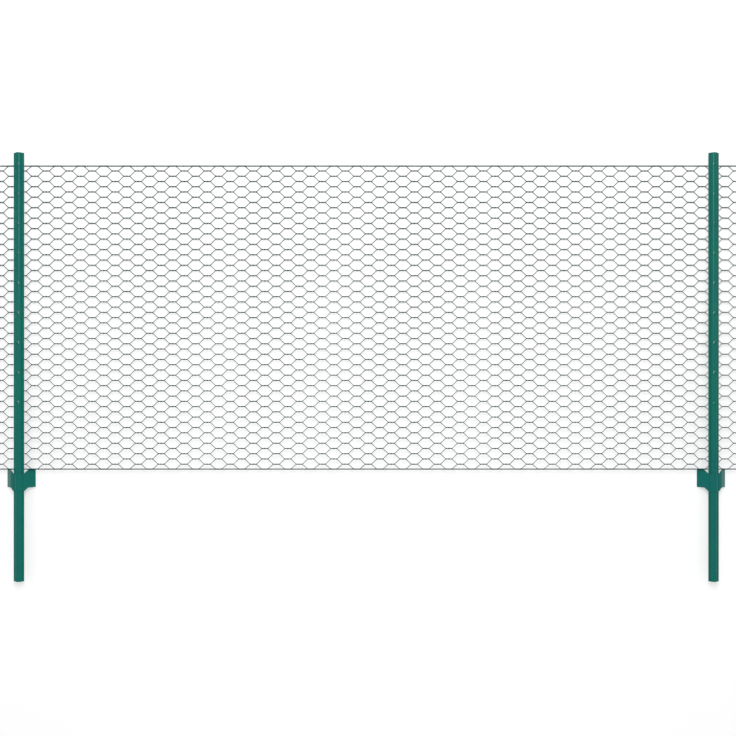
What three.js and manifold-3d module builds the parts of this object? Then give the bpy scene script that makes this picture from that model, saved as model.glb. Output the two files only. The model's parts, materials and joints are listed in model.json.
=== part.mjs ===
// One bay of hexagonal wire netting between two light U posts with anchor plates, for driving into the ground.
// The fence is drawn in millimetres with X along it, Y up the posts from the ground line and Z out of its front.
// It is then laid on its back on a level floor, as it comes to rest when nothing holds it up.

import * as THREE from "three";
import { mergeVertices } from "three/addons/utils/BufferGeometryUtils.js";
import Module from "manifold-3d";

const wasm = await Module();
wasm.setup();

// Netting. The pattern is that of the real netting, drawn coarser: the real one has 29 rows and 66 columns.
const nettingOverhang = 108.5; // how far it runs on past each post
const nettingHeight = 1000;
const nettingRows = 16;
const nettingColumns = 36;
const nettingSections = 3;
const twistShare = 0.6; // the part of a column's pitch that is its twisted, horizontal stretch
const nettingShift = 7; // how far the netting's middle lies to the right of the posts' middle
const barWidth = 2.2;
const nettingDepth = 4.6; // the wires twisted together, the thicker one along the top and bottom included

// Posts: a half-round crown with a flange on each side, rolled from one strip.
const postSpacing = 2290;
const postTopOverhang = 43;
const postFootDepth = 370;
const postWidth = 34;
const postSheet = 1.3;
const crownRadius = 11;
const crownCentreHeight = 1;
const crownSides = 10;

// Hooks: tongues that are punched out of the crown and bent forward, with their free ends up.
const firstHookHeight = 212;
const hookPitch = 98;
const hookTopMargin = 25;
const hookWidth = 5.4;
const hookLength = 11;
const hookStandOff = 3.5;
const hookBendShare = 0.7; // the part of its length after which it runs along the post again
const hookSheet = 1.3;
const slotWidth = 6.4;
const slotLength = 13;

// Anchor plate: one sheet, pressed over the front of the post, with wings that sweep back.
const plateSheet = 1.8;
const plateHeight = 59;
const plateTopDepth = 2.2; // how far the wings' top edge lies under the ground line
const plateChevronDrop = 11.5; // how much lower the plate sits on the post than at its wings
const plateFoldReach = 28;
const plateFoldSweep = 7.2;
const plateTipReach = 46.4;
const plateTipSweep = 22.6;
const plateEdgeClearance = 0.8;

const fitGap = 0.3;
const weldDistance = 0.001; // corners closer than this are one

const nettingLength = postSpacing + 2 * nettingOverhang;
const postTop = nettingHeight + postTopOverhang;
const postBottom = -postFootDepth;
const postLength = postTop - postBottom;
const crownTop = crownCentreHeight + crownRadius;

const postCoating = new THREE.MeshStandardMaterial({ color: 0x19675c, roughness: 0.35, metalness: 0 });
const nettingCoating = new THREE.MeshStandardMaterial({ color: 0x1b4042, roughness: 0.5, metalness: 0 });

// A closed geometry as a solid that can be cut and joined.
function solidOf(geometry) {
  const bare = geometry.index ? geometry.toNonIndexed() : geometry.clone();
  bare.deleteAttribute("normal");
  bare.deleteAttribute("uv");
  const merged = mergeVertices(bare, weldDistance);
  const vertProperties = merged.attributes.position.array;
  const triVerts = new Uint32Array(merged.index.array);
  return new wasm.Manifold(new wasm.Mesh({ numProp: 3, vertProperties, triVerts }));
}

// A solid as a geometry for a mesh.
function geometryOf(solid) {
  const { vertProperties, triVerts } = solid.getMesh();
  const geometry = new THREE.BufferGeometry();
  geometry.setAttribute("position", new THREE.BufferAttribute(new Float32Array(vertProperties), 3));
  geometry.setIndex(new THREE.BufferAttribute(new Uint32Array(triVerts), 1));
  geometry.computeVertexNormals();
  return geometry;
}

function extrude(points, depth) {
  return new THREE.ExtrudeGeometry(new THREE.Shape(points), { depth, bevelEnabled: false, steps: 1 });
}

// The outline of a bent sheet: its middle line, taken half the sheet's thickness to each side.
function sheetOutline(line, sheet) {
  const last = line.length - 1;
  const direction = (from) => line[from + 1].clone().sub(line[from]).normalize();
  const offset = (i, side) => {
    const before = direction(Math.max(i - 1, 0));
    const after = direction(Math.min(i, last - 1));
    const along = before.clone().add(after).normalize();
    const reach = sheet / 2 / along.dot(before);
    return line[i].clone().addScaledVector(new THREE.Vector2(-along.y, along.x), side * reach);
  };
  const left = line.map((_, i) => offset(i, 1));
  const right = line.map((_, i) => offset(i, -1));
  return [...right, ...left.reverse()];
}

// Points on an arc around the crown's centre, from the right foot over the top to the left foot.
function crownArc(radius, footHeight) {
  const footAngle = Math.asin((footHeight - crownCentreHeight) / radius);
  const points = [];
  for (let i = 0; i <= crownSides; i++) {
    const angle = footAngle + ((Math.PI - 2 * footAngle) * i) / crownSides;
    const x = radius * Math.cos(angle);
    const y = crownCentreHeight + radius * Math.sin(angle);
    points.push(new THREE.Vector2(x, y));
  }
  return points;
}

// The rolled section, seen from above the post: X across it and Y out of its front.
function postSection() {
  const edge = postWidth / 2;
  const outer = crownArc(crownRadius, postSheet);
  const inner = crownArc(crownRadius - postSheet, 0).reverse();
  return [
    new THREE.Vector2(edge, 0),
    new THREE.Vector2(edge, postSheet),
    ...outer,
    new THREE.Vector2(-edge, postSheet),
    new THREE.Vector2(-edge, 0),
    ...inner,
  ];
}

// Turns a section drawn in X and Y and extruded along Z, so that it runs down along -Y and fronts +Z.
function standUp(geometry) {
  return geometry.rotateX(Math.PI / 2);
}

function hookHeights() {
  const highest = postTop - hookTopMargin - slotLength;
  const count = Math.floor((highest - firstHookHeight) / hookPitch) + 1;
  return Array.from({ length: Math.max(count, 0) }, (_, i) => firstHookHeight + i * hookPitch);
}

// The hole that a hook was punched from. Its lower end is at the given height.
function hookSlot(height) {
  const slot = new THREE.BoxGeometry(slotWidth, slotLength, 2 * crownRadius);
  return solidOf(slot.translate(0, height + slotLength / 2, crownTop));
}

// The hook's tongue, rooted in the crown under its slot.
function hookTongue(height) {
  const wallRadius = crownRadius - postSheet / 2;
  const root = crownCentreHeight + Math.sqrt(wallRadius ** 2 - (hookWidth / 2) ** 2);
  const free = crownTop + hookStandOff - hookSheet / 2;
  const line = [
    new THREE.Vector2(-hookSheet, root),
    new THREE.Vector2(hookSheet, root + hookSheet / 3),
    new THREE.Vector2(hookLength * hookBendShare, free),
    new THREE.Vector2(hookLength, free),
  ];
  const tongue = extrude(sheetOutline(line, hookSheet), hookWidth);
  tongue.translate(0, 0, -hookWidth / 2);
  // The outline's X and Y become the part's Y and Z.
  const turn = new THREE.Matrix4().makeBasis(
    new THREE.Vector3(0, 1, 0),
    new THREE.Vector3(0, 0, 1),
    new THREE.Vector3(1, 0, 0),
  );
  return solidOf(tongue.applyMatrix4(turn).translate(0, height, 0));
}

function postGeometry() {
  const strip = standUp(extrude(postSection(), postLength)).translate(0, postTop, 0);
  let post = solidOf(strip);
  for (const height of hookHeights()) {
    post = post.subtract(hookSlot(height)).add(hookTongue(height));
  }
  return geometryOf(post);
}

// The plate's middle line, seen from above: wing tip, fold, post edge, flange, over the crown, and back out.
function plateLine() {
  const onFlange = postSheet + fitGap + plateSheet / 2;
  const overCrown = crownArc(crownRadius + fitGap + plateSheet / 2, onFlange);
  const edge = postWidth / 2 + plateEdgeClearance;
  const foldHeight = onFlange - plateFoldSweep;
  const rightHalf = [
    new THREE.Vector2(plateTipReach, foldHeight - plateTipSweep),
    new THREE.Vector2(plateFoldReach, foldHeight),
    new THREE.Vector2(edge, onFlange),
  ];
  const leftHalf = rightHalf.map((point) => new THREE.Vector2(-point.x, point.y)).reverse();
  return [...rightHalf, ...overCrown, ...leftHalf];
}

// The sheet's outline before it is bent up, seen from the front: a chevron of even height.
function plateOutline() {
  const wingTop = -plateTopDepth;
  const postEdgeTop = wingTop - plateChevronDrop;
  const reach = plateTipReach + plateSheet;
  const edge = postWidth / 2;
  const top = [
    new THREE.Vector2(-reach, wingTop),
    new THREE.Vector2(-plateFoldReach, wingTop),
    new THREE.Vector2(-edge, postEdgeTop),
    new THREE.Vector2(edge, postEdgeTop),
    new THREE.Vector2(plateFoldReach, wingTop),
    new THREE.Vector2(reach, wingTop),
  ];
  const bottom = top.map((point) => new THREE.Vector2(point.x, point.y - plateHeight)).reverse();
  return [...bottom, ...top];
}

function plateGeometry() {
  const tall = 2 * plateHeight + plateChevronDrop;
  const bent = standUp(extrude(sheetOutline(plateLine(), plateSheet), tall));
  bent.translate(0, plateHeight / 2, 0);
  const cutterDepth = 4 * (crownTop + plateFoldSweep + plateTipSweep); // past the plate's front and back
  const cutter = extrude(plateOutline(), cutterDepth).translate(0, 0, -cutterDepth / 2);
  return geometryOf(solidOf(bent).intersect(solidOf(cutter)));
}

// The netting's pattern between two columns: its points, and the bars that join them.
// Even columns have twists on whole rows and odd ones on half rows. Straight wires close the top and bottom.
function nettingPattern(firstColumn, lastColumn) {
  const pitch = nettingLength / nettingColumns;
  const halfRow = nettingHeight / nettingRows / 2;
  const points = new Map();
  const bars = [];
  // end is -1 or 1 for the left or right end of a twist, and 0 for its middle, where a section is cut
  const pointAt = (column, end, row) => {
    const key = `${column} ${end} ${row}`;
    if (!points.has(key)) {
      const x = column * pitch - nettingLength / 2 + (end * twistShare * pitch) / 2;
      points.set(key, { x, y: row * halfRow, arms: [] });
    }
    return points.get(key);
  };
  const join = (a, b) => {
    const bar = { a, b };
    a.arms.push({ bar, angle: Math.atan2(b.y - a.y, b.x - a.x) });
    b.arms.push({ bar, angle: Math.atan2(a.y - b.y, a.x - b.x) });
    bars.push(bar);
  };
  for (let column = firstColumn; column <= lastColumn; column++) {
    const starts = column === firstColumn;
    const stops = column === lastColumn;
    const odd = column % 2;
    for (let row = odd; row <= 2 * nettingRows; row += 2) {
      join(pointAt(column, starts ? 0 : -1, row), pointAt(column, stops ? 0 : 1, row));
      for (const next of [row - 1, row + 1]) {
        if (stops || next < 0 || next > 2 * nettingRows) continue;
        join(pointAt(column, 1, row), pointAt(column + 1, -1, next));
      }
    }
    if (!odd) continue;
    for (const row of [0, 2 * nettingRows]) {
      const left = starts ? pointAt(column, 0, row) : pointAt(column - 1, 1, row);
      const right = stops ? pointAt(column, 0, row) : pointAt(column + 1, -1, row);
      join(left, right);
    }
  }
  return { points: [...points.values()], bars };
}

// Bars of triangular section, flat at the back and ridged at the front, fused where they meet.
function nettingGeometry(firstColumn, lastColumn) {
  const { points, bars } = nettingPattern(firstColumn, lastColumn);
  const positions = [];
  const faces = [];
  const vertex = (x, y, z) => positions.push(x, y, z) / 3 - 1;
  for (const point of points) {
    point.ridge = vertex(point.x, point.y, nettingDepth);
    point.arms.sort((a, b) => a.angle - b.angle);
    point.corners = point.arms.map((arm, i) => {
      const next = point.arms[(i + 1) % point.arms.length];
      const turn = (next.angle - arm.angle + 2 * Math.PI) % (2 * Math.PI) || 2 * Math.PI;
      if (point.arms.length === 1) return null;
      const reach = barWidth / 2 / Math.sin(turn / 2);
      const angle = arm.angle + turn / 2;
      return vertex(point.x + reach * Math.cos(angle), point.y + reach * Math.sin(angle), 0);
    });
    if (point.arms.length > 2) {
      for (let i = 1; i < point.corners.length - 1; i++) {
        faces.push(point.corners[0], point.corners[i + 1], point.corners[i]);
      }
    }
  }
  // The two back corners of a bar at one of its ends, left and right as seen looking along it from that end.
  const cornersAt = (point, bar) => {
    const i = point.arms.findIndex((arm) => arm.bar === bar);
    if (point.arms.length > 1) {
      return [point.corners[i], point.corners[(i + point.arms.length - 1) % point.arms.length]];
    }
    const across = point.arms[0].angle + Math.PI / 2;
    const dx = (barWidth / 2) * Math.cos(across);
    const dy = (barWidth / 2) * Math.sin(across);
    const left = vertex(point.x + dx, point.y + dy, 0);
    const right = vertex(point.x - dx, point.y - dy, 0);
    faces.push(point.ridge, left, right);
    return [left, right];
  };
  const quad = (a, b, c, d) => faces.push(a, b, c, a, c, d);
  for (const bar of bars) {
    const [leftA, rightA] = cornersAt(bar.a, bar);
    const [rightB, leftB] = cornersAt(bar.b, bar);
    quad(bar.a.ridge, bar.b.ridge, leftB, leftA);
    quad(rightA, rightB, bar.b.ridge, bar.a.ridge);
    quad(leftA, leftB, rightB, rightA);
  }
  const geometry = new THREE.BufferGeometry();
  geometry.setAttribute("position", new THREE.BufferAttribute(new Float32Array(positions), 3));
  geometry.setIndex(faces);
  geometry.computeVertexNormals();
  return geometry;
}

function named(name, geometry, material) {
  const mesh = new THREE.Mesh(geometry, material);
  mesh.name = name;
  return mesh;
}

function postWithPlate(name, x) {
  const group = new THREE.Group();
  group.add(named(`${name}_post`, postGeometry(), postCoating));
  group.add(named(`${name}_anchor_plate`, plateGeometry(), postCoating));
  group.position.x = x;
  return group;
}

// The netting hangs behind the posts' flanges, in sections that meet in the middle of a column of twists.
function netting() {
  const group = new THREE.Group();
  for (let i = 0; i < nettingSections; i++) {
    const first = Math.round((i * nettingColumns) / nettingSections);
    const last = Math.round(((i + 1) * nettingColumns) / nettingSections);
    group.add(named(`netting_${i + 1}`, nettingGeometry(first, last), nettingCoating));
  }
  group.position.set(nettingShift, 0, -fitGap - nettingDepth);
  return group;
}

const fence = new THREE.Group();
fence.add(postWithPlate("left", -postSpacing / 2));
fence.add(postWithPlate("right", postSpacing / 2));
fence.add(netting());

// On the floor it lies on the wing tips of its anchor plates and on the back of the netting's top wire.
const tip = sheetOutline(plateLine(), plateSheet).reduce((low, point) => Math.min(low, point.y), 0);
const tipDrop = Math.max(-fitGap - nettingDepth - tip, 0);
const restTilt = Math.atan2(tipDrop, nettingHeight + barWidth / 2 + plateTopDepth);
fence.rotation.x = -restTilt;

const part = new THREE.Group();
part.add(fence);
part.updateMatrixWorld(true);
const box = new THREE.Box3().setFromObject(part, true);
fence.position.set(-(box.min.x + box.max.x) / 2, -(box.min.y + box.max.y) / 2, -box.min.z);

export default part;
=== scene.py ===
"""A bay of hexagonal wire netting between two green U posts with anchor plates, lying on its back.

Each piece is modelled upright in metres: X runs along the fence, Y up from the ground line, and Z out of its
front from the backs of the posts' flanges. It is then laid where the packed part lies.
"""

import json
import math

import bpy
from mathutils import Matrix, Vector


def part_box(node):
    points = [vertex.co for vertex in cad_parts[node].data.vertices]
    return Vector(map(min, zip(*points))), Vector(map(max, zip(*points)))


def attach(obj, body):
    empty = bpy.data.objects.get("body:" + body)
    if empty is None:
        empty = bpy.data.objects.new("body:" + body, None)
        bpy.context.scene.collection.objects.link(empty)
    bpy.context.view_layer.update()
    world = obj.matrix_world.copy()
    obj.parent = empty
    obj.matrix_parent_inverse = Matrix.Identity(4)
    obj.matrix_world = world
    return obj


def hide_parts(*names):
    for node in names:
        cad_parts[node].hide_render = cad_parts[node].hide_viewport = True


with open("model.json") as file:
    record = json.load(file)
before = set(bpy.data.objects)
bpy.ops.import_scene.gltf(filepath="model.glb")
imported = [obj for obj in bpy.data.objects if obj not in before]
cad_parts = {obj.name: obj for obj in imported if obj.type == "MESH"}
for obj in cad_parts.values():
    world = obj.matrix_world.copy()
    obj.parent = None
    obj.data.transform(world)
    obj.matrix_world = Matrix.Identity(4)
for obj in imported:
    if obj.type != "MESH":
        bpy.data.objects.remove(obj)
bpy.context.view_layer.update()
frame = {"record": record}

bl_info = {
    "name": "Wire Netting Fence",
    "version": (1, 0, 0),
    "blender": (4, 5, 0),
    "location": "3D View > Sidebar > Fence",
    "description": "Models a bay of wire netting between two U posts",
    "category": "Add Mesh",
}

MOUNTS = {mount["name"]: mount for mount in frame["record"]["mounts"]}

# Points that are closer than this, in metres, are one point.
SAME_PLACE = 1e-6

# Points in the rounded edges of a hook's tip that are closer than this are welded.
SLIVER = 5e-6

# A hook's rounded tip: its length over the tongue's width, where it has points, and where it stops narrowing
TIP_SHARE = 0.45
TIP_ANGLES = (0, 30, 50, 68, 82)
TIP_STOP = 0.99

FLOOR_SIZE = 160
SENSOR = 36
FAR_CLIP = 100
SKY = 0.6

# Each light's name, place, width, height and power
LIGHTS = (
    ("key", (0, 1.5, 3.6), 0.9, 1.8, 78),
    ("left_strip", (-2.6, 0.3, 1.6), 0.3, 1.6, 2.5),
    ("right_strip", (2.6, 0.3, 1.6), 0.3, 1.6, 2.5),
)


def middle(node, axis):
    low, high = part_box(node)
    return (low[axis] + high[axis]) / 2


POST_PLACES = {"left": middle("left_post", 0), "right": middle("right_post", 0)}
NETTING_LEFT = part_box("netting_1")[0].x
NETTING_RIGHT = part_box("netting_3")[1].x


def length(name, description, default):
    return bpy.props.FloatProperty(
        name=name, description=description, default=default, min=0.0, unit="LENGTH", precision=5
    )


def number(name, description, default, least=1):
    return bpy.props.IntProperty(name=name, description=description, default=default, min=least)


def colour(name, description, default):
    return bpy.props.FloatVectorProperty(
        name=name, description=description, default=default, size=4, min=0.0, max=1.0, subtype="COLOR"
    )


class FENCE_PG_netting(bpy.types.PropertyGroup):
    """Sizes of the wire netting."""

    height: length("Height", "From the bottom wire's middle to the top wire's middle", 1.0)
    columns: number("Columns", "Columns of twists along it", 66, 2)
    rows: number("Rows", "Rows of cells up it", 29, 2)
    row: length("Row", "Height of a row; the outermost rows are lower, to fit the netting's height", 0.03456)
    sections: number("Sections", "Pieces that the net is made in", 3)
    wire: length("Wire", "Diameter of a coated wire", 0.0022)
    edge_wire: length("Edge wire", "Diameter of a wire along the top and bottom", 0.0021)
    edge_turns: number("Edge turns", "Turns of the wires along the top and bottom between two twists", 6)
    end: length("End", "How far the wires' ends lie inside the netting's length", 0.0004)
    twist: length("Twist", "Length of one twisted stretch", 0.0226)
    bend: length("Bend", "How far from its corner a wire starts to bend", 0.0011)
    depth: length("Depth", "Thickness of the netting with its edge wires", 0.0046)
    gap: length("Gap", "Clearance between the netting and the posts", 0.0003)


class FENCE_PG_post(bpy.types.PropertyGroup):
    """Sizes of a post, which is rolled from one strip."""

    top: length("Top", "Height of its upper end over the ground line", 1.043)
    foot: length("Foot", "Depth of its lower end under the ground line", 0.370)
    width: length("Width", "Across both flanges", 0.034)
    sheet: length("Sheet", "Thickness of the strip", 0.0013)
    crown: length("Crown", "Outer radius of the crown", 0.011)
    crown_centre: length("Crown centre", "Height of the crown's centre over the flanges' backs", 0.001)
    bend: length("Bend", "Radius of the bend between flange and crown", 0.0022)
    edge: length("Edge", "Rounding of the strip's edges", 0.0003)


class FENCE_PG_hook(bpy.types.PropertyGroup):
    """Sizes of the hooks that are punched out of a post's crown."""

    first: length("First", "Height of the lowest hook's root over the ground line", 0.212)
    pitch: length("Pitch", "From one hook to the next", 0.098)
    count: number("Count", "Hooks on a post", 9)
    width: length("Width", "Width of a hook's tongue", 0.0058)
    length: length("Length", "Length of a hook's tongue", 0.0125)
    stand_off: length("Stand-off", "How far the tongue stands out over the crown", 0.0035)
    sheet: length("Sheet", "Thickness of the tongue", 0.0013)
    slot_width: length("Slot width", "Width of the hole it was punched from", 0.0060)
    slot_length: length("Slot length", "Length of the hole it was punched from", 0.013)


class FENCE_PG_plate(bpy.types.PropertyGroup):
    """Sizes of an anchor plate, which is pressed from one sheet."""

    sheet: length("Sheet", "Thickness of the sheet", 0.0018)
    height: length("Height", "Height of the plate anywhere along it", 0.059)
    top: length("Top", "How far the wings' top edge lies under the ground line", 0.0022)
    drop: length("Drop", "How much lower the plate sits on the post", 0.0115)
    edge_reach: length("Edge reach", "From the post's middle to where the plate leaves it", 0.0178)
    fold_reach: length("Fold reach", "From the post's middle to the wing's fold", 0.028)
    fold_sweep: length("Fold sweep", "How far back the fold lies", 0.0072)
    tip_reach: length("Tip reach", "From the post's middle to the wing's tip", 0.0464)
    tip_sweep: length("Tip sweep", "How far back the tip lies behind the fold", 0.0226)
    bend: length("Bend", "Radius of its bends", 0.003)
    gap: length("Gap", "Clearance between the plate and its post", 0.0003)
    edge: length("Edge", "Rounding of the sheet's edges", 0.0004)


class FENCE_PG_finish(bpy.types.PropertyGroup):
    """Colours of the coats."""

    post: colour("Post", "Powder coat of posts and plates", (0.003, 0.148, 0.108, 1.0))
    post_shade: colour("Post shade", "The coat where it is thicker and bluer", (0.003, 0.130, 0.116, 1.0))
    wire: colour("Wire", "Coat of the netting", (0.003, 0.044, 0.048, 1.0))
    wire_shade: colour("Wire shade", "The coat where it is thicker", (0.003, 0.030, 0.034, 1.0))
    floor: colour("Floor", "The floor it lies on", (0.66, 0.66, 0.66, 1.0))
    glow: bpy.props.FloatProperty(
        name="Glow", description="Light that the floor gives", default=0.405, min=0.0
    )


class FENCE_PG_stage(bpy.types.PropertyGroup):
    """The camera and the lights."""

    distance: length("Distance", "From the camera to the netting", 3.58)
    view: length("View", "Width of the netting that the picture shows", 2.4288)
    height: length("Height", "Height of the picture's middle over the ground line", 0.3336)
    shift: length("Shift", "How far right of the posts' middle the picture's middle is", 0.0058)


GROUPS = {
    "fence_netting": FENCE_PG_netting,
    "fence_post": FENCE_PG_post,
    "fence_hook": FENCE_PG_hook,
    "fence_plate": FENCE_PG_plate,
    "fence_finish": FENCE_PG_finish,
    "fence_stage": FENCE_PG_stage,
}


# Placing

def lying(post):
    """The turn and move from the upright fence to where it lies."""
    foot = MOUNTS["left_foot"]
    lean = math.atan2(foot["axis"][2], -foot["axis"][1])
    turn = Matrix.Rotation(-lean, 4, "X")
    move = Vector(foot["pos_m"]) - turn @ Vector((0, -post.foot, post.sheet / 2))
    move.x = 0
    return Matrix.Translation(move) @ turn


def lay_down(piece, post, along=0.0):
    """Puts an upright piece at its place along the fence and lays it down, with its place in its mesh."""
    select_only(piece)
    piece.matrix_world = lying(post) @ Matrix.Translation((along, 0, 0))
    bpy.ops.object.transform_apply(location=True, rotation=True, scale=True)


def finish_piece(piece, name, node, material):
    """Names a piece, coats it and hands it to the part's body in place of its packed solid."""
    piece.name = name
    piece.data.name = name
    piece.data.materials.clear()
    piece.data.materials.append(material)
    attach(piece, "root")
    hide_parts(node)


# Modelling by hand

def deselect_all():
    bpy.ops.object.select_all(action="DESELECT")


def select_only(piece):
    deselect_all()
    piece.select_set(True)
    bpy.context.view_layer.objects.active = piece


def chain(points):
    """Adds one vertex at the first point and extrudes it from point to point. The chain stays selected."""
    bpy.ops.mesh.primitive_plane_add(size=0.001)
    if bpy.context.mode == "OBJECT":
        bpy.ops.object.mode_set(mode="EDIT")
    bpy.ops.mesh.merge(type="CENTER")
    bpy.ops.transform.translate(value=points[0])
    for before, after in zip(points, points[1:]):
        bpy.ops.mesh.extrude_vertices_move(TRANSFORM_OT_translate={"value": after - before})


def chains(paths):
    """A mesh of loose edges along paths, left in object mode."""
    deselect_all()
    for path in paths:
        if bpy.context.mode == "EDIT_MESH":
            bpy.ops.mesh.select_all(action="DESELECT")
        chain(path)
    bpy.ops.object.mode_set(mode="OBJECT")
    return bpy.context.active_object


def modify(piece, kind, **settings):
    """Adds a modifier to a piece and applies it."""
    select_only(piece)
    modifier = piece.modifiers.new(kind.title(), kind)
    for name, value in settings.items():
        setattr(modifier, name, value)
    bpy.ops.object.modifier_apply(modifier=modifier.name)


def repeat(piece, count, offset, merge=False):
    """Repeats a piece along an offset, with each copy's end welded to the next one's start if asked."""
    modify(
        piece,
        "ARRAY",
        count=count,
        use_relative_offset=False,
        use_constant_offset=True,
        constant_offset_displace=offset,
        use_merge_vertices=merge,
        merge_threshold=SAME_PLACE,
    )


def joined(pieces):
    """Joins pieces into the first one."""
    select_only(pieces[0])
    for piece in pieces[1:]:
        piece.select_set(True)
    bpy.ops.object.join()
    return pieces[0]


def duplicate(piece):
    """A copy of a piece with its own mesh."""
    select_only(piece)
    bpy.ops.object.duplicate(linked=False)
    return bpy.context.active_object


def move(piece, offset):
    """Moves a piece within its object, which stays at the origin."""
    select_only(piece)
    bpy.ops.transform.translate(value=offset)
    bpy.ops.object.transform_apply(location=True, rotation=True, scale=True)


def arc(centre, radius, start, stop, steps):
    """Points on an arc in the X-Z plane, between two angles from +X towards +Z."""
    angles = [start + (stop - start) * i / steps for i in range(steps + 1)]
    return [centre + radius * Vector((math.cos(a), 0, math.sin(a))) for a in angles]


def mirrored(points):
    """Points, then their mirror images in reverse order."""
    return points + [Vector((-p.x, p.y, p.z)) for p in reversed(points) if p.x > SAME_PLACE]


def rounded(points, radius, steps=4):
    """A line of points with its inner corners rounded to a radius."""
    line = [points[0]]
    for before, corner, after in zip(points, points[1:], points[2:]):
        back = (before - corner).normalized()
        ahead = (after - corner).normalized()
        half = back.angle(ahead) / 2
        reach = radius / math.tan(half)
        centre = corner + (back + ahead).normalized() * radius / math.sin(half)
        first = corner + back * reach - centre
        last = corner + ahead * reach - centre
        line += [centre + radius * first.slerp(last, i / steps) for i in range(steps + 1)]
    return line + [points[-1]]


def sheet(points, drop, thickness):
    """A sheet along a line of points in the X-Z plane, extruded down and given a thickness."""
    piece = chains([points])
    bpy.ops.object.mode_set(mode="EDIT")
    bpy.ops.mesh.select_all(action="SELECT")
    bpy.ops.mesh.extrude_region_move(TRANSFORM_OT_translate={"value": drop})
    bpy.ops.object.mode_set(mode="OBJECT")
    modify(piece, "SOLIDIFY", thickness=thickness, offset=0.0, use_even_offset=True)
    outwards(piece)
    return piece


def outwards(piece):
    """Turns all faces of a closed piece outwards."""
    select_only(piece)
    bpy.ops.object.mode_set(mode="EDIT")
    bpy.ops.mesh.select_all(action="SELECT")
    bpy.ops.mesh.normals_make_consistent(inside=False)
    bpy.ops.object.mode_set(mode="OBJECT")


def soften_edges(piece, width, angle=50):
    """Rounds the sharp edges of a piece and shades the rest smooth."""
    select_only(piece)
    bpy.ops.object.shade_smooth_by_angle(angle=math.radians(angle))
    modify(
        piece,
        "BEVEL",
        width=width,
        segments=2,
        limit_method="ANGLE",
        angle_limit=math.radians(angle),
        use_clamp_overlap=True,
        harden_normals=True,
    )


# Finishes

class Surface:
    """A material and its nodes, with one method that adds any of them."""

    def __init__(self, name, **constants):
        self.material = bpy.data.materials.new(name)
        self.material.use_nodes = True
        self.tree = self.material.node_tree
        self.shader = self.tree.nodes["Principled BSDF"]
        for socket, value in constants.items():
            self.shader.inputs[socket.replace("_", " ")].default_value = value

    def feed(self, socket, value):
        if isinstance(value, Channel):
            self.tree.links.new(value.socket, socket)
        else:
            socket.default_value = value

    def node(self, kind, settings=None, inputs=None, output=0):
        node = self.tree.nodes.new("ShaderNode" + kind)
        for name, value in (settings or {}).items():
            setattr(node, name, value)
        for name, value in (inputs or {}).items():
            self.feed(node.inputs[name], value)
        return Channel(self, node.outputs[output])

    def coordinates(self):
        return self.node("TexCoord", output="Object")

    def noise(self, scale, detail):
        inputs = {"Vector": self.coordinates(), "Scale": scale, "Detail": detail}
        return self.node("TexNoise", inputs=inputs)

    def mix(self, share, first, second):
        inputs = {0: share, 6: first, 7: second}
        return self.node("Mix", {"data_type": "RGBA"}, inputs, output=2)

    def bump(self, height, distance, strength):
        return self.node("Bump", inputs={"Height": height, "Distance": distance, "Strength": strength})

    def show(self, **channels):
        for socket, value in channels.items():
            self.feed(self.shader.inputs[socket.replace("_", " ")], value)
        return self.material


class Channel:
    """A node's output that Python's operators work on."""

    def __init__(self, surface, socket):
        self.surface = surface
        self.socket = socket

    def maths(self, operation, *values, clamp=False):
        settings = {"operation": operation, "use_clamp": clamp}
        return self.surface.node("Math", settings, dict(enumerate(values)))

    def __add__(self, other):
        return self.maths("ADD", self, other)

    __radd__ = __add__

    def __mul__(self, other):
        return self.maths("MULTIPLY", self, other)

    __rmul__ = __mul__

    def stretched(self, low, high):
        """0 at low and 1 at high, and clamped outside."""
        return self.maths("MULTIPLY_ADD", self, 1 / (high - low), -low / (high - low), clamp=True)


def powder_coat(finish):
    """Semi-gloss green powder coat with a faint orange peel and slow shifts in thickness."""
    coat = Surface("green_powder_coat", Specular_IOR_Level=0.14)
    cloud = coat.noise(scale=7.0, detail=3.0).stretched(low=0.35, high=0.65)
    speck = coat.noise(scale=420.0, detail=2.0)
    peel = coat.noise(scale=750.0, detail=1.0)
    base = coat.mix(cloud, tuple(finish.post), tuple(finish.post_shade))
    roughness = 0.18 + 0.06 * cloud + 0.08 * speck
    relief = coat.bump(peel, distance=0.00012, strength=0.5)
    return coat.show(Base_Color=base, Roughness=roughness, Normal=relief)


def wire_coat(finish):
    """Satin green-grey coat on wire, uneven along it."""
    coat = Surface("green_grey_wire_coat", Specular_IOR_Level=0.12)
    cloud = coat.noise(scale=60.0, detail=2.0).stretched(low=0.3, high=0.7)
    grain = coat.noise(scale=900.0, detail=2.0)
    base = coat.mix(cloud, tuple(finish.wire), tuple(finish.wire_shade))
    roughness = 0.38 + 0.15 * grain
    relief = coat.bump(grain, distance=0.0001, strength=0.5)
    return coat.show(Base_Color=base, Roughness=roughness, Normal=relief)


def floor_paint(finish):
    """Matt white floor, lit from within like a light table."""
    white = (1, 1, 1, 1)
    paint = Surface("floor_paint", Roughness=0.9, Emission_Color=white, Emission_Strength=finish.glow)
    cloud = paint.noise(scale=1.5, detail=1.0)
    shade = tuple(0.985 * part for part in finish.floor[:3]) + (1.0,)
    return paint.show(Base_Color=paint.mix(cloud, tuple(finish.floor), shade))


# Netting

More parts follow.
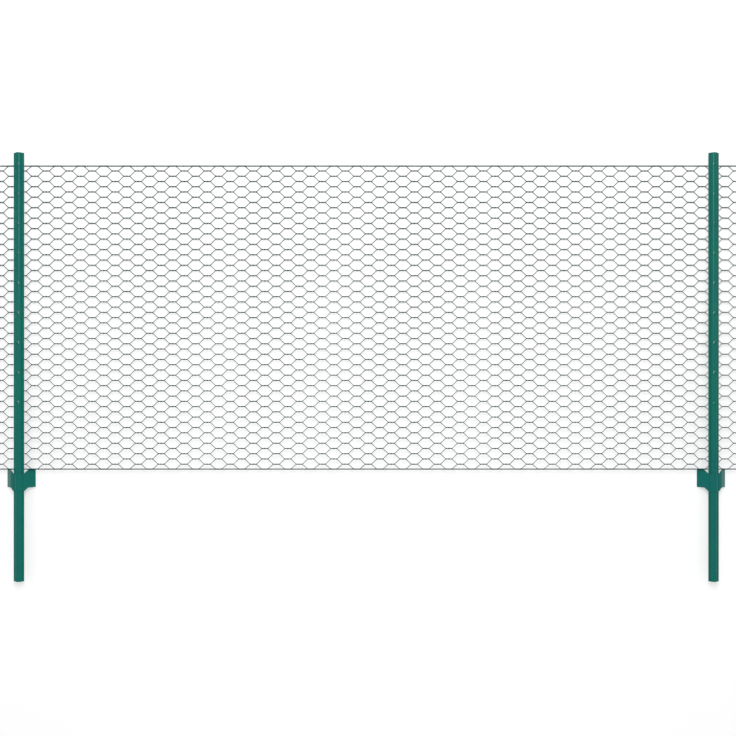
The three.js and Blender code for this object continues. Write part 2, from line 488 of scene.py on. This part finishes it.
class Net:
    """Routes of the netting's wires over one period, two columns long, from the middle of an even column."""

    def __init__(self, sizes):
        self.pitch = (NETTING_RIGHT - NETTING_LEFT - 2 * sizes.end) / sizes.columns
        self.period = 2 * self.pitch
        self.row = sizes.row
        self.outer_rise = sizes.row / 2 - (sizes.row * sizes.rows - sizes.height) / 2
        self.twist = sizes.twist
        self.bend = sizes.bend
        self.radius = sizes.wire / 2
        self.edge_radius = sizes.edge_wire / 2
        self.edge_turns = sizes.edge_turns
        self.rope_radius = min(sizes.edge_wire / math.sqrt(3), sizes.depth / 2 - sizes.edge_wire / 2)
        self.outer_radius = min(self.rope_radius, sizes.depth / 2 - sizes.wire / 2)

    def turn(self, centre, side, share, radius):
        """A point on a wire in a twist, at a share of its length. It starts and ends on the given side."""
        angle = 2 * math.pi * share
        along = (share - 0.5) * (self.twist - 2 * self.bend)
        return centre + Vector((along, side * radius * math.cos(angle), side * radius * math.sin(angle)))

    def twisted(self, centre, side, radius, start=0.0, stop=1.0, steps=8):
        shares = [start + (stop - start) * i / steps for i in range(steps + 1)]
        return [self.turn(centre, side, share, radius) for share in shares]

    def slope(self, start, end):
        """The two inner points of a straight stretch, each a bend's length from its end."""
        way = (end - start).normalized() * self.bend
        return [start + way, end - way]

    def wire(self, rise, low_radius):
        """One wire that rises (or drops) by half a row to the odd column and comes back."""
        side = math.copysign(1, rise)
        low = Vector((0, 0, 0))
        high = Vector((self.pitch, rise, 0))
        after = low + Vector((self.period, 0, 0))
        half = Vector((self.twist / 2, 0, 0))
        on_low = Vector((0, side * low_radius, 0))
        on_high = Vector((0, -side * self.radius, 0))
        up = self.slope(low + half + on_low, high - half + on_high)
        down = self.slope(high + half + on_high, after - half + on_low)
        first = self.twisted(low, side, low_radius, 0.5, 1.0, 4)
        middle_part = self.twisted(high, -side, self.radius)
        last = self.twisted(after, side, low_radius, 0.0, 0.5, 4)
        return first + up + middle_part + down + last

    def edge_strand(self, side, place, steps=8):
        """One of the two strands along the top or bottom.

        They lie side by side and turn several times between two twists. In a twist they turn once and make
        room for the net's wire, which is the third in their rope there.
        """
        half = (self.twist - 2 * self.bend) / 2
        free = self.period - 2 * half
        points = []
        last = self.edge_turns + 1
        for i in range(last * steps + 1):
            turns = 0.5 + i / steps
            if 1 <= turns <= last:
                x = half + free * (turns - 1) / self.edge_turns
                room = max(0, 1 - 2 * min(turns - 1, last - turns))
            else:
                x = 2 * half * (turns - 0.5)
                if turns > last:
                    x = self.period - 2 * half * (last + 0.5 - turns)
                room = 1
            radius = self.edge_radius + room * (self.rope_radius - self.edge_radius)
            spread = math.radians(90 - 30 * room)
            angle = side * math.pi / 2 + math.pi + place * spread + 2 * math.pi * turns
            points.append(Vector((x, radius * math.sin(angle), -radius * math.cos(angle))))
        return points


def wires_from(skeleton, diameter):
    """Gives a mesh of loose edges the roundness of wire, with closed ends."""
    select_only(skeleton)
    bpy.ops.object.convert(target="CURVE")
    curve = bpy.context.active_object
    curve.data.bevel_depth = diameter / 2
    curve.data.bevel_resolution = 1
    curve.data.use_fill_caps = True
    bpy.ops.object.convert(target="MESH")
    wires = bpy.context.active_object
    bpy.ops.object.mode_set(mode="EDIT")
    bpy.ops.mesh.select_all(action="SELECT")
    bpy.ops.mesh.remove_doubles(threshold=SAME_PLACE)
    bpy.ops.mesh.normals_make_consistent(inside=False)
    bpy.ops.object.mode_set(mode="OBJECT")
    bpy.ops.object.shade_smooth()
    return wires


def shifted(points, up):
    return [point + Vector((0, up, 0)) for point in points]


def netting_section(sizes, periods):
    """All wires of one section of netting, from its left end at X 0."""
    net = Net(sizes)
    half_row = net.row / 2
    pairs = chains([net.wire(half_row, net.radius), net.wire(-half_row, net.radius)])
    repeat(pairs, sizes.rows - 1, (0, net.row, 0))
    move(pairs, (0, net.outer_rise + half_row, 0))
    bottom = net.wire(net.outer_rise, net.outer_radius)
    top = shifted(net.wire(-net.outer_rise, net.outer_radius), sizes.height)
    outer = chains([bottom, top])
    wires = joined([pairs, outer])
    repeat(wires, periods, (net.period, 0, 0), merge=True)
    strands = chains(
        [net.edge_strand(1, place) for place in (-1, 1)]
        + [shifted(net.edge_strand(-1, place), sizes.height) for place in (-1, 1)]
    )
    repeat(strands, periods, (net.period, 0, 0), merge=True)
    return joined([wires_from(wires, sizes.wire), wires_from(strands, sizes.edge_wire)])


# Posts and plates

def omega(half_width, back, crown_centre, radius, bend):
    """The middle line of a sheet with a round crown between two flanges, from +X to -X."""
    out = math.sqrt((radius + bend) ** 2 - (back + bend - crown_centre) ** 2)
    bend_centre = Vector((out, 0, back + bend))
    meet = math.atan2(bend_centre.z - crown_centre, bend_centre.x)
    flange = [Vector((half_width, 0, back))]
    foot = arc(bend_centre, bend, -math.pi / 2, -math.pi + meet, 5)
    crown = arc(Vector((0, 0, crown_centre)), radius, meet, math.pi / 2, 11)
    return mirrored(flange + foot + crown[1:])


def rolled_strip(post):
    """The post before it is punched."""
    radius = post.crown - post.sheet / 2
    line = omega(post.width / 2, post.sheet / 2, post.crown_centre, radius, post.bend)
    top = [point + Vector((0, post.top, 0)) for point in line]
    return sheet(top, Vector((0, -post.top - post.foot, 0)), post.sheet)


def hook_slots(post, hook):
    """The cutter for the holes that the hooks are punched from."""
    crown_top = post.crown_centre + post.crown
    deselect_all()
    bpy.ops.mesh.primitive_cube_add(size=1, location=(0, hook.first + hook.slot_length / 2, crown_top))
    cutter = bpy.context.active_object
    cutter.scale = (hook.slot_width, hook.slot_length, post.crown)
    bpy.ops.object.transform_apply(location=True, rotation=True, scale=True)
    bpy.ops.object.mode_set(mode="EDIT")
    bpy.ops.mesh.select_all(action="DESELECT")
    bpy.ops.object.mode_set(mode="OBJECT")
    for edge in cutter.data.edges:
        ends = [cutter.data.vertices[i].co for i in edge.vertices]
        edge.select = abs(ends[0].z - ends[1].z) > post.crown / 2
    bpy.ops.object.mode_set(mode="EDIT")
    bpy.ops.mesh.bevel(offset=hook.slot_width / 5, segments=4)
    bpy.ops.object.mode_set(mode="OBJECT")
    repeat(cutter, hook.count, (0, hook.pitch, 0))
    return cutter


def hook_tongues(post, hook):
    """The tongues, bent out of the crown with their rounded free ends up."""
    crown_top = post.crown_centre + post.crown
    wall = post.crown - post.sheet / 2
    root = post.crown_centre + math.sqrt(wall**2 - (hook.width / 2) ** 2)
    free = crown_top + hook.stand_off - hook.sheet / 2
    side = -hook.width / 2
    line = [
        Vector((side, -hook.sheet, root)),
        Vector((side, hook.sheet, root + hook.sheet / 4)),
        Vector((side, 0.6 * hook.length, free - hook.sheet / 6)),
        Vector((side, hook.length, free)),
    ]
    tip = TIP_SHARE * hook.width
    end = [line[-1] - Vector((0, tip * (1 - math.sin(math.radians(a))), 0)) for a in TIP_ANGLES]
    line = rounded(line, 1.5 * hook.sheet)[:-1] + end + line[-1:]
    tongue = sheet(line, Vector((hook.width, 0, 0)), hook.sheet)
    for vertex in tongue.data.vertices:
        out = min(max((vertex.co.y - hook.length + tip) / tip, 0), TIP_STOP)
        vertex.co.x *= math.sqrt(1 - out**2)
    soften_edges(tongue, hook.sheet / 6)
    modify(tongue, "WELD", merge_threshold=SLIVER)
    move(tongue, (0, hook.first, 0))
    repeat(tongue, hook.count, (0, hook.pitch, 0))
    return tongue


def punched_post(post, hook):
    strip = rolled_strip(post)
    cutter = hook_slots(post, hook)
    modify(strip, "BOOLEAN", operation="DIFFERENCE", solver="EXACT", object=cutter)
    bpy.data.objects.remove(cutter)
    soften_edges(strip, post.edge)
    return joined([strip, hook_tongues(post, hook)])


def pressed_plate(post, plate):
    """The anchor plate: a saddle over the post's front and two wings, cut to a chevron."""
    back = post.sheet + plate.gap + plate.sheet / 2
    radius = post.crown + plate.gap + plate.sheet / 2
    fold = back - plate.fold_sweep
    saddle = omega(plate.edge_reach, back, post.crown_centre, radius, plate.bend)
    tip = Vector((plate.tip_reach, 0, fold - plate.tip_sweep))
    wing = [tip, Vector((plate.fold_reach, 0, fold)), saddle[0], saddle[1]]
    half = len(saddle) // 2 + 1
    line = mirrored(rounded(wing, plate.bend)[:-1] + saddle[1:half])
    piece = sheet(line, Vector((0, -plate.height, 0)), plate.sheet)
    slope = plate.drop / (plate.fold_reach - plate.edge_reach)
    for vertex in piece.data.vertices:
        reach = min(max(abs(vertex.co.x), plate.edge_reach), plate.fold_reach)
        vertex.co.y -= plate.top + (plate.fold_reach - reach) * slope
    soften_edges(piece, plate.edge)
    return piece


# Operators

class FENCE_OT_netting(bpy.types.Operator):
    """Models the wire netting in its sections, wire by wire"""

    bl_idname = "fence.netting"
    bl_label = "Wire Netting"

    def execute(self, context):
        scene = context.scene
        sizes = scene.fence_netting
        coat = wire_coat(scene.fence_finish)
        periods = sizes.columns // 2 // sizes.sections
        wide = (NETTING_RIGHT - NETTING_LEFT - 2 * sizes.end) / sizes.sections
        first = netting_section(sizes, periods)
        move(first, (0, 0, -sizes.gap - sizes.depth / 2))
        pieces = [first] + [duplicate(first) for _ in range(1, sizes.sections)]
        for i, piece in enumerate(pieces):
            lay_down(piece, scene.fence_post, NETTING_LEFT + sizes.end + i * wide)
            finish_piece(piece, f"net_{i + 1}", f"netting_{i + 1}", coat)
        return {"FINISHED"}


class FENCE_OT_posts(bpy.types.Operator):
    """Models the two posts with their punched hooks"""

    bl_idname = "fence.posts"
    bl_label = "Posts"

    def execute(self, context):
        scene = context.scene
        coat = powder_coat(scene.fence_finish)
        left = punched_post(scene.fence_post, scene.fence_hook)
        for side, piece in {"left": left, "right": duplicate(left)}.items():
            lay_down(piece, scene.fence_post, POST_PLACES[side])
            finish_piece(piece, f"{side}_rolled_post", f"{side}_post", coat)
        return {"FINISHED"}


class FENCE_OT_plates(bpy.types.Operator):
    """Models the two anchor plates"""

    bl_idname = "fence.plates"
    bl_label = "Anchor Plates"

    def execute(self, context):
        scene = context.scene
        coat = powder_coat(scene.fence_finish)
        left = pressed_plate(scene.fence_post, scene.fence_plate)
        for side, piece in {"left": left, "right": duplicate(left)}.items():
            lay_down(piece, scene.fence_post, POST_PLACES[side])
            finish_piece(piece, f"{side}_pressed_plate", f"{side}_anchor_plate", coat)
        return {"FINISHED"}


class FENCE_OT_stage(bpy.types.Operator):
    """Adds the floor, the soft lights and the camera that looks down on the fence"""

    bl_idname = "fence.stage"
    bl_label = "Stage"

    def execute(self, context):
        scene = context.scene
        stage = scene.fence_stage
        deselect_all()
        bpy.ops.mesh.primitive_plane_add(size=FLOOR_SIZE)
        floor = context.active_object
        floor.name = "floor"
        floor.data.materials.append(floor_paint(scene.fence_finish))
        place = lying(scene.fence_post)
        netting_depth = -scene.fence_netting.gap - scene.fence_netting.depth / 2
        across = sum(POST_PLACES.values()) / 2 + stage.shift
        eye = Vector((across, stage.height, netting_depth + stage.distance))
        bpy.ops.object.camera_add()
        camera = context.active_object
        camera.matrix_world = place @ Matrix.Translation(eye)
        camera.data.sensor_width = SENSOR
        camera.data.lens = SENSOR * stage.distance / stage.view
        camera.data.clip_end = FAR_CLIP
        scene.camera = camera
        for light in LIGHTS:
            self.add_light(*light)
        scene.world = bpy.data.worlds.new("studio")
        scene.world.use_nodes = True
        sky = scene.world.node_tree.nodes["Background"]
        sky.inputs["Color"].default_value = (1, 1, 1, 1)
        sky.inputs["Strength"].default_value = SKY
        scene.view_settings.view_transform = "Standard"
        return {"FINISHED"}

    def add_light(self, name, place, width, height, power):
        """Adds a soft light that faces the middle of the fence."""
        bpy.ops.object.light_add(type="AREA", location=place)
        lamp = bpy.context.active_object
        lamp.name = name
        lamp.data.shape = "RECTANGLE"
        lamp.data.size = width
        lamp.data.size_y = height
        lamp.data.energy = power
        lamp.rotation_euler = (Vector((0, 0, 0)) - Vector(place)).to_track_quat("-Z", "Y").to_euler()


class FENCE_PT_panel(bpy.types.Panel):
    """Lists the fence's pieces and their sizes"""

    bl_idname = "FENCE_PT_panel"
    bl_label = "Wire Netting Fence"
    bl_space_type = "VIEW_3D"
    bl_region_type = "UI"
    bl_category = "Fence"

    def draw(self, context):
        for operator in OPERATORS:
            self.layout.operator(operator.bl_idname)
        for name, group in GROUPS.items():
            box = self.layout.box()
            box.label(text=group.__doc__)
            for size in group.__annotations__:
                box.prop(getattr(context.scene, name), size)


OPERATORS = (FENCE_OT_stage, FENCE_OT_netting, FENCE_OT_posts, FENCE_OT_plates)


def register():
    for group in (*GROUPS.values(), *OPERATORS, FENCE_PT_panel):
        bpy.utils.register_class(group)
    for name, group in GROUPS.items():
        setattr(bpy.types.Scene, name, bpy.props.PointerProperty(type=group))


def unregister():
    for name in GROUPS:
        delattr(bpy.types.Scene, name)
    for group in (FENCE_PT_panel, *reversed(OPERATORS), *reversed(list(GROUPS.values()))):
        bpy.utils.unregister_class(group)


def main():
    register()
    bpy.ops.fence.stage()
    bpy.ops.fence.netting()
    bpy.ops.fence.posts()
    bpy.ops.fence.plates()


if __name__ == "__main__":
    main()
